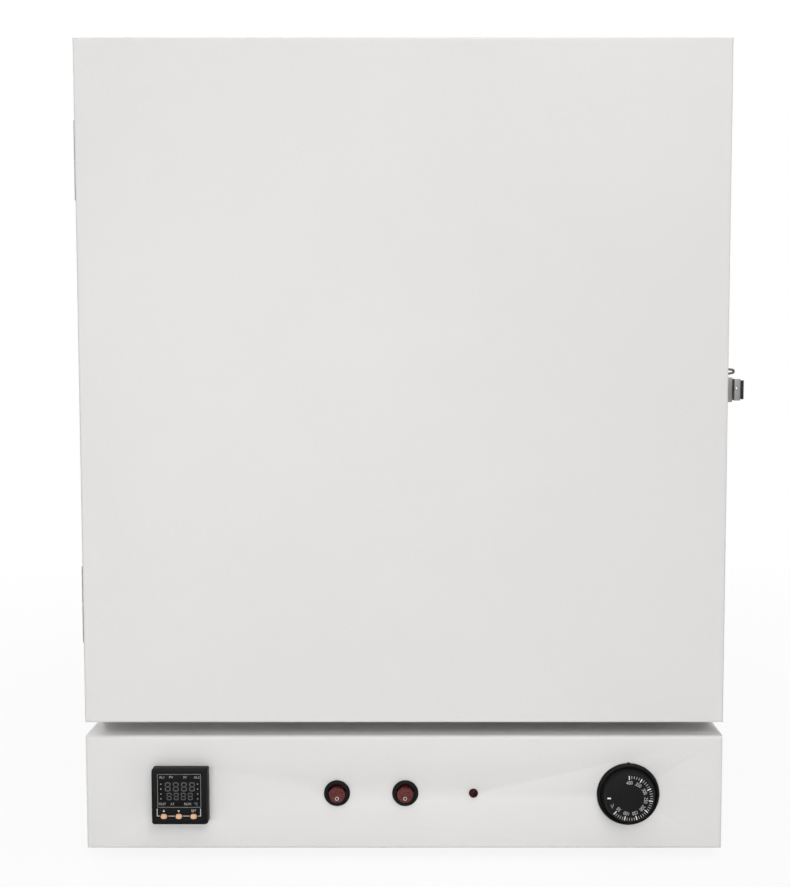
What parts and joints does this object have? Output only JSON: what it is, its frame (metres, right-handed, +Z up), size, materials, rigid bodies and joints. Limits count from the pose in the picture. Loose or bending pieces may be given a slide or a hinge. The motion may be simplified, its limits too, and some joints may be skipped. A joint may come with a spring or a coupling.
{
  "type": "dry heat sterilizer",
  "caption": "Bench dry heat sterilizer: insulated steel chamber with wire shelves, side hung front door with a side latch, on a base with controller, switches and dial.",
  "frame": {"origin": "centre of the footprint, on the bench under the rubber feet", "axes": "+Z up, the door and the control panel face -Y, +X to the right as seen from the front"},
  "size_m": [0.5977, 0.568, 0.712],
  "materials": {
    "paint": "fine textured white powder coat",
    "zinc_steel": "zinc plated",
    "stainless": "brushed stainless steel",
    "latch_steel": "plated and brushed",
    "foot_rubber": "matt",
    "black_plastic": "satin black moulding",
    "display_window": "gloss black window",
    "button_plastic": "satin orange",
    "red_lens": "translucent red",
    "thermostat_steel": "plated",
    "copper": "drawn copper",
    "relay_plastic": "moulded",
    "terminal_ceramic": "unglazed",
    "wire": "silicone sleeved",
    "mineral_wool": "fibrous",
    "heater_sheath": "heat darkened",
    "brass": "turned",
    "silicone": "moulded"
  },
  "bodies": {
    "cabinet": {"base_shell": "paint", "base_back": "paint", "cabinet_shell": "paint", "cabinet_back": "paint", "base_bottom": "zinc_steel", "cabinet_floor": "zinc_steel", "base_screws": "zinc_steel", "cabinet_screws": "zinc_steel", "cabinet_side_screws": "zinc_steel", "front_frame": "stainless", "chamber": "stainless", "floor_plate": "stainless", "shelf_racks": "stainless", "exhaust_spigot": "stainless", "temperature_probe": "stainless", "latch_bracket": "latch_steel", "latch_pin": "latch_steel", "latch_clip": "latch_steel", "hinge_cabinet_leaves": "latch_steel", "hinge_pins": "latch_steel", "feet": "foot_rubber", "controller_case": "black_plastic", "controller_bezel": "black_plastic", "switch_bodies": "black_plastic", "dial_bezel": "black_plastic", "inlet": "black_plastic", "controller_window": "display_window", "heating_lamp": "red_lens", "thermostat_body": "thermostat_steel", "thermostat_bulb": "copper", "relay": "relay_plastic", "terminal_block": "terminal_ceramic", "wiring_loom": "wire", "insulation_bottom": "mineral_wool", "insulation_top": "mineral_wool", "insulation_sides": "mineral_wool", "insulation_rear": "mineral_wool", "heater": "heater_sheath", "heater_bushings": "brass"},
    "door": {"door_skin": "paint", "door_liner": "stainless", "door_insulation": "mineral_wool", "door_gasket": "silicone", "hinge_door_leaves": "latch_steel", "door_side_screws": "zinc_steel", "latch_keeper": "latch_steel"},
    "claw": {"latch_claw": "latch_steel", "latch_grip": "black_plastic"},
    "dial": {"dial_knob": "black_plastic", "thermostat_shaft": "stainless"},
    "mains_rocker": {"rocker_mains": "red_lens"},
    "heater_rocker": {"rocker_heater": "red_lens"},
    "up_button": {"button_up": "button_plastic"},
    "down_button": {"button_down_key": "button_plastic"},
    "set_button": {"button_set": "button_plastic"},
    "upper_shelf": {"shelf_upper": "stainless"},
    "lower_shelf": {"shelf_lower": "stainless"},
    "damper": {"exhaust_damper": "stainless"},
    "fuse_holder": {"fuse_drawer": "black_plastic"}
  },
  "joints": [
    {"name": "door_hinge", "type": "hinge", "parent": "cabinet", "child": "door", "pos_m": [-0.288, -0.219, 0.417], "axis": [0, 0, -1], "range_deg": [0, 180]},
    {"name": "latch_claw_pivot", "type": "hinge", "parent": "cabinet", "child": "claw", "pos_m": [0.2892, -0.2, 0.413], "axis": [0, 0, 1], "range_deg": [-6.49, 75]},
    {"name": "dial_turn", "type": "hinge", "parent": "cabinet", "child": "dial", "pos_m": [0.197, -0.272, 0.0586], "axis": [0, -1, 0], "range_deg": [0, 273]},
    {"name": "mains_rocker_tilt", "type": "hinge", "parent": "cabinet", "child": "mains_rocker", "pos_m": [-0.059, -0.27, 0.0592], "axis": [-1, 0, 0], "range_deg": [0, 20]},
    {"name": "heater_rocker_tilt", "type": "hinge", "parent": "cabinet", "child": "heater_rocker", "pos_m": [0.001, -0.27, 0.0592], "axis": [-1, 0, 0], "range_deg": [0, 20]},
    {"name": "up_button_press", "type": "slide", "parent": "cabinet", "child": "up_button", "axis": [0, 1, 0], "range_m": [0, 0.0008], "stiffness_N_per_m": 600},
    {"name": "down_button_press", "type": "slide", "parent": "cabinet", "child": "down_button", "axis": [0, 1, 0], "range_m": [0, 0.0008], "stiffness_N_per_m": 600},
    {"name": "set_button_press", "type": "slide", "parent": "cabinet", "child": "set_button", "axis": [0, 1, 0], "range_m": [0, 0.0008], "stiffness_N_per_m": 600},
    {"name": "upper_shelf_slide", "type": "slide", "parent": "cabinet", "child": "upper_shelf", "axis": [0, -1, 0], "range_m": [0, 0.028]},
    {"name": "lower_shelf_slide", "type": "slide", "parent": "cabinet", "child": "lower_shelf", "axis": [0, -1, 0], "range_m": [0, 0.028]},
    {"name": "exhaust_damper_turn", "type": "hinge", "parent": "cabinet", "child": "damper", "pos_m": [0, 0.269, 0.6], "axis": [1, 0, 0], "range_deg": [0, 90]},
    {"name": "fuse_drawer_pull", "type": "slide", "parent": "cabinet", "child": "fuse_holder", "axis": [0, 1, 0], "range_m": [0, 0.012]}
  ]
}
